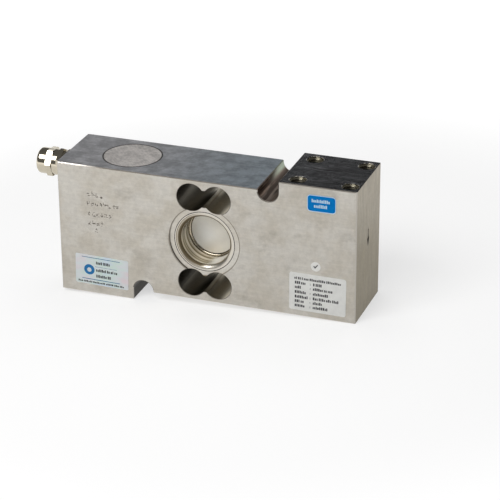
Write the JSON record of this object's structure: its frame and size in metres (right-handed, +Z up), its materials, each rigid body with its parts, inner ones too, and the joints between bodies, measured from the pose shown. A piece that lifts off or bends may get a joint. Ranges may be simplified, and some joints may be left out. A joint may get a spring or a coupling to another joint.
{
  "type": "single point load cell",
  "caption": "Stainless single point load cell: a milled beam with bending slots, a sealed gauge bore, tapped mounting pads at both ends and a cable gland.",
  "frame": {"origin": "centre of the fixed end's bolt pattern, on the face that is bolted down", "axes": "+X along the beam towards the load end, +Y to the back, +Z up, against the load"},
  "size_m": [0.1674, 0.0381, 0.072],
  "materials": {
    "beam_steel": "ground stainless steel",
    "cup_steel": "turned stainless steel, bright",
    "lid_steel": "fine ground stainless steel",
    "gauge_film": "amber polyimide film with metal foil",
    "terminal_film": "copper on polyimide",
    "enamel_wire": "enamelled copper",
    "red_insulation": "smooth",
    "black_insulation": "smooth",
    "green_insulation": "smooth",
    "white_insulation": "smooth",
    "foam": "soft silicone pad",
    "board": "lacquered circuit board",
    "resistor": "moulded",
    "nickel": "nickel-plated brass",
    "clamp_plastic": "moulded",
    "seal_rubber": "matt",
    "ring_rubber": "matt",
    "rating_film": "printed film",
    "silver_film": "printed silver film",
    "blue_film": "printed film",
    "white_film": "printed film"
  },
  "bodies": {
    "root": {"beam_body": "beam_steel", "front_seal_cup": "cup_steel", "rear_seal_cup": "cup_steel", "pocket_lid": "lid_steel", "upper_right_gauge": "gauge_film", "upper_left_gauge": "gauge_film", "lower_left_gauge": "gauge_film", "lower_right_gauge": "gauge_film", "upper_terminal": "terminal_film", "lower_terminal": "terminal_film", "front_link_wire": "enamel_wire", "rear_link_wire": "enamel_wire", "red_lead": "red_insulation", "black_lead": "black_insulation", "green_lead": "green_insulation", "white_lead": "white_insulation", "board_pad": "foam", "junction_board": "board", "zero_trim_resistor": "resistor", "span_trim_resistor": "resistor", "modulus_resistor": "resistor", "gland_o_ring": "ring_rubber", "gland_body": "nickel", "gland_cap": "nickel", "gland_clamp": "clamp_plastic", "gland_seal": "seal_rubber", "rating_label": "rating_film", "blue_label": "blue_film", "left_label": "silver_film", "round_label": "white_film"}
  },
  "joints": []
}
